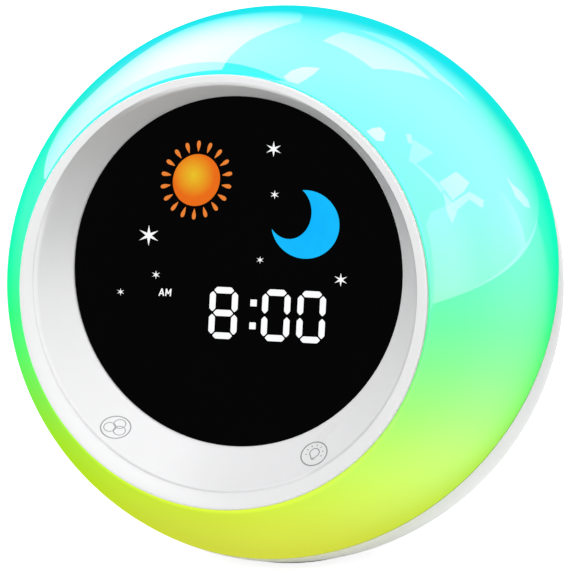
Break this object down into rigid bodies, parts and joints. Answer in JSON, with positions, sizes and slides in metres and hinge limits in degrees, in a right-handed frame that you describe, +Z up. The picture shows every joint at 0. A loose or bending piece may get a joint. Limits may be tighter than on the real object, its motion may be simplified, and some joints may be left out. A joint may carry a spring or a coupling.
{
  "type": "kids alarm clock with night light",
  "caption": "Ball-shaped bedside alarm clock with a dished round digital display, touch keys, a glowing crescent diffuser, rear push buttons and a hinged battery door.",
  "frame": {"origin": "centre of the rubber foot's underside, on the surface that the clock stands on", "axes": "+Z up, the display faces -Y, +X is to the right of someone who reads the display"},
  "size_m": [0.15, 0.1263, 0.1485],
  "materials": {
    "white_abs": "satin white ABS",
    "smoked_lens": "smoked acrylic, hard coated",
    "mask_film": "printed black mask film",
    "reflector_white": "matt white moulding",
    "circuit_board": "solder-masked board",
    "white_board": "white solder-masked board",
    "led_package": "moulded lamp package",
    "copper_foil": "copper foil",
    "milky_diffuser": "milky polycarbonate, polished outside and lit from inside",
    "screw_steel": "zinc plated",
    "rear_abs": "fine textured white ABS",
    "button_grey": "satin light grey ABS",
    "black_nylon": "black nylon",
    "switch_case": "black switch housing",
    "plated_contact": "nickel plated",
    "foam_black": "closed cell foam",
    "basket_steel": "pressed steel, grey",
    "cone_paper": "coated paper",
    "magnet_steel": "plated steel and ferrite",
    "cell_wrap": "plain shrink sleeve",
    "ribbon_grey": "grey flat cable",
    "plug_nylon": "natural nylon",
    "foot_rubber": "soft rubber"
  },
  "bodies": {
    "clock_body": {"front_bezel": "white_abs", "display_lens": "smoked_lens", "icon_film": "mask_film", "light_box": "reflector_white", "display_board": "circuit_board", "display_leds": "led_package", "touch_pad_left": "copper_foil", "touch_pad_right": "copper_foil", "diffuser_shell": "milky_diffuser", "inner_frame": "reflector_white", "frame_screws": "screw_steel", "night_light_board": "white_board", "night_light_leds": "led_package", "rear_shell": "rear_abs", "case_screws": "screw_steel", "rear_panel": "rear_abs", "panel_screws": "screw_steel", "button_board": "circuit_board", "switch_housings": "switch_case", "main_board": "circuit_board", "board_chips": "black_nylon", "board_screws": "screw_steel", "usb_socket": "plated_contact", "speaker_gasket": "foam_black", "speaker_basket": "basket_steel", "speaker_cone": "cone_paper", "speaker_magnet": "magnet_steel", "battery_cells": "cell_wrap", "battery_contacts": "plated_contact", "battery_springs": "plated_contact", "ribbon_cable": "ribbon_grey", "cable_plugs": "plug_nylon", "foot_pad": "foot_rubber"},
    "time_key": {"time_button": "button_grey", "time_plunger": "black_nylon"},
    "alarm_key": {"alarm_button": "button_grey", "alarm_plunger": "black_nylon"},
    "nap_key": {"nap_button": "button_grey", "nap_plunger": "black_nylon"},
    "minus_key": {"minus_button": "button_grey", "minus_plunger": "black_nylon"},
    "plus_key": {"plus_button": "button_grey", "plus_plunger": "black_nylon"},
    "battery_cover": {"battery_door": "rear_abs"}
  },
  "joints": [
    {"name": "time_press", "type": "slide", "parent": "clock_body", "child": "time_key", "axis": [0, -1, 0], "range_m": [0, 0.0008], "stiffness_N_per_m": 300, "springref_m": -0.002},
    {"name": "alarm_press", "type": "slide", "parent": "clock_body", "child": "alarm_key", "axis": [0, -1, 0], "range_m": [0, 0.0008], "stiffness_N_per_m": 300, "springref_m": -0.002},
    {"name": "nap_press", "type": "slide", "parent": "clock_body", "child": "nap_key", "axis": [0, -1, 0], "range_m": [0, 0.0008], "stiffness_N_per_m": 300, "springref_m": -0.002},
    {"name": "minus_press", "type": "slide", "parent": "clock_body", "child": "minus_key", "axis": [0, -1, 0], "range_m": [0, 0.0008], "stiffness_N_per_m": 300, "springref_m": -0.002},
    {"name": "plus_press", "type": "slide", "parent": "clock_body", "child": "plus_key", "axis": [0, -1, 0], "range_m": [0, 0.0008], "stiffness_N_per_m": 300, "springref_m": -0.002},
    {"name": "door_hinge", "type": "hinge", "parent": "clock_body", "child": "battery_cover", "pos_m": [0, 0.03074, 0.00502], "axis": [-1, 0, 0], "range_deg": [0, 45]}
  ]
}
